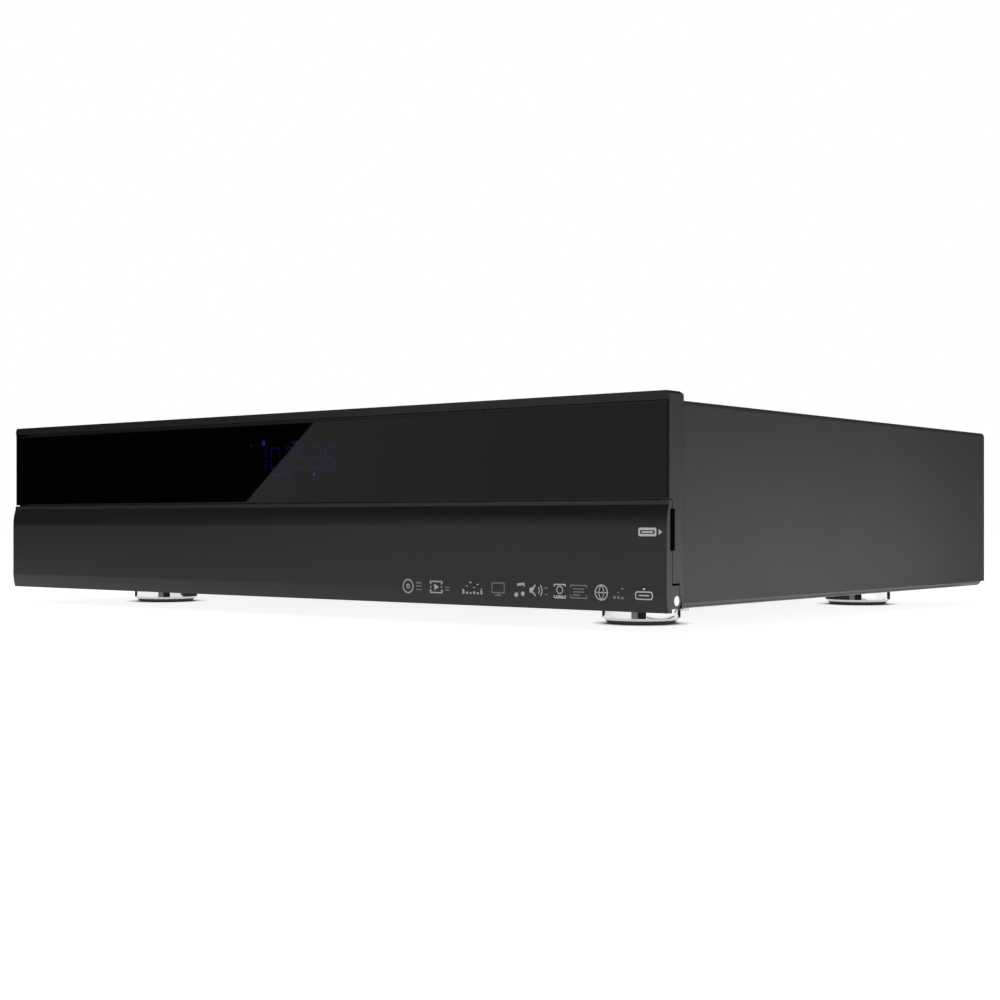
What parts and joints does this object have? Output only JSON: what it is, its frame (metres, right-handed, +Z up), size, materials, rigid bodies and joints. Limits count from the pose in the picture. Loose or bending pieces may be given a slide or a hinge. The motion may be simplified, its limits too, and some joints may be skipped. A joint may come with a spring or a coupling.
{
  "type": "media player",
  "caption": "Full-width media player: flip-down front door over slide-in drive trays, black glass display front, folded steel cover, chromed round feet and a rear connector panel",
  "frame": {"origin": "centre of the footprint, on the surface it stands on", "axes": "+X along the front to the right as seen from the front, +Y from the front to the back, +Z up"},
  "size_m": [0.43, 0.3294, 0.0967],
  "materials": {
    "galvanised_steel": "folded and zinc plated",
    "dark_cover_paint": "fine matt powder coat",
    "black_rear_paint": "matt powder coat",
    "dark_anodised_front": "fine-grained dark anodising",
    "black_glass": "polished, black",
    "black_moulding": "fine texture",
    "chrome_plate": "polished",
    "foot_rubber": "matt",
    "magnet_plate": "nickel plated",
    "circuit_board": "solder resist",
    "bare_aluminium": "extruded",
    "brass_spacer": "turned",
    "port_shield": "tin plated",
    "gold_plate": "gold plated",
    "display_block": "smoked window",
    "winding_tape": "tape over a winding",
    "capacitor_sleeve": "shrunk sleeve",
    "insulating_film": "thin film",
    "clear_pipe": "clear",
    "handle_metal": "satin",
    "button_metal": "turned face"
  },
  "bodies": {
    "chassis": {"base_pan": "galvanised_steel", "top_cover": "dark_cover_paint", "rear_panel": "black_rear_paint", "front_bezel": "dark_anodised_front", "front_glass": "black_glass", "bay_fascia": "black_moulding", "hinge_brackets": "galvanised_steel", "hinge_pins": "galvanised_steel", "door_magnets": "magnet_plate", "feet": "chrome_plate", "foot_pads": "foot_rubber", "foot_screws": "galvanised_steel", "case_screws": "galvanised_steel", "drive_cage": "galvanised_steel", "tray_guides": "black_moulding", "backplane_board": "circuit_board", "drive_sockets": "black_moulding", "main_board": "circuit_board", "board_chips": "black_moulding", "heatsink": "bare_aluminium", "board_spacers": "brass_spacer", "board_screws": "galvanised_steel", "hdmi_ports": "port_shield", "lan_port": "port_shield", "rear_usb_port": "port_shield", "optical_port": "black_moulding", "audio_jacks": "gold_plate", "antenna_sockets": "gold_plate", "front_board": "circuit_board", "front_usb_port": "port_shield", "power_switch": "black_moulding", "display_board": "circuit_board", "display_module": "display_block", "supply_board": "circuit_board", "transformer": "winding_tape", "supply_capacitors": "capacitor_sleeve", "supply_heatsinks": "bare_aluminium", "insulation_sheet": "insulating_film", "mains_inlet": "black_moulding", "inlet_pins": "brass_spacer", "rocker_housing": "black_moulding", "fan_frame": "black_moulding"},
    "door": {"door_panel": "dark_anodised_front", "door_strikes": "galvanised_steel"},
    "left_tray": {"tray_left": "galvanised_steel", "tray_front_left": "black_moulding", "light_pipe_left": "clear_pipe", "handle_pins_left": "galvanised_steel"},
    "left_handle": {"tray_handle_left": "handle_metal"},
    "right_tray": {"tray_right": "galvanised_steel", "tray_front_right": "black_moulding", "light_pipe_right": "clear_pipe", "handle_pins_right": "galvanised_steel"},
    "right_handle": {"tray_handle_right": "handle_metal"},
    "power_button": {"power_button": "button_metal"},
    "rocker": {"rocker": "black_moulding"},
    "fan_rotor": {"fan_rotor": "black_moulding"}
  },
  "joints": [
    {"name": "door_hinge", "type": "hinge", "parent": "chassis", "child": "door", "pos_m": [0, -0.1573, 0.0136], "axis": [1, 0, 0], "range_deg": [0, 90]},
    {"name": "left_tray_slide", "type": "slide", "parent": "chassis", "child": "left_tray", "axis": [0, -1, 0], "range_m": [0, 0.018]},
    {"name": "left_handle_fold", "type": "hinge", "parent": "left_tray", "child": "left_handle", "pos_m": [-0.1408, -0.1367, 0.0384], "axis": [-1, 0, 0], "range_deg": [0, 90]},
    {"name": "right_tray_slide", "type": "slide", "parent": "chassis", "child": "right_tray", "axis": [0, -1, 0], "range_m": [0, 0.018]},
    {"name": "right_handle_fold", "type": "hinge", "parent": "right_tray", "child": "right_handle", "pos_m": [-0.0278, -0.1367, 0.0384], "axis": [-1, 0, 0], "range_deg": [0, 90]},
    {"name": "power_button_press", "type": "slide", "parent": "chassis", "child": "power_button", "axis": [0, 1, 0], "range_m": [0, 0.001], "stiffness_N_per_m": 1500},
    {"name": "mains_rocker", "type": "hinge", "parent": "chassis", "child": "rocker", "pos_m": [-0.143, 0.1541, 0.039], "axis": [1, 0, 0], "range_deg": [0, 16]},
    {"name": "fan_spin", "type": "hinge", "parent": "chassis", "child": "fan_rotor", "pos_m": [-0.0205, 0.1463, 0.0484], "axis": [0, 1, 0], "continuous": true}
  ]
}
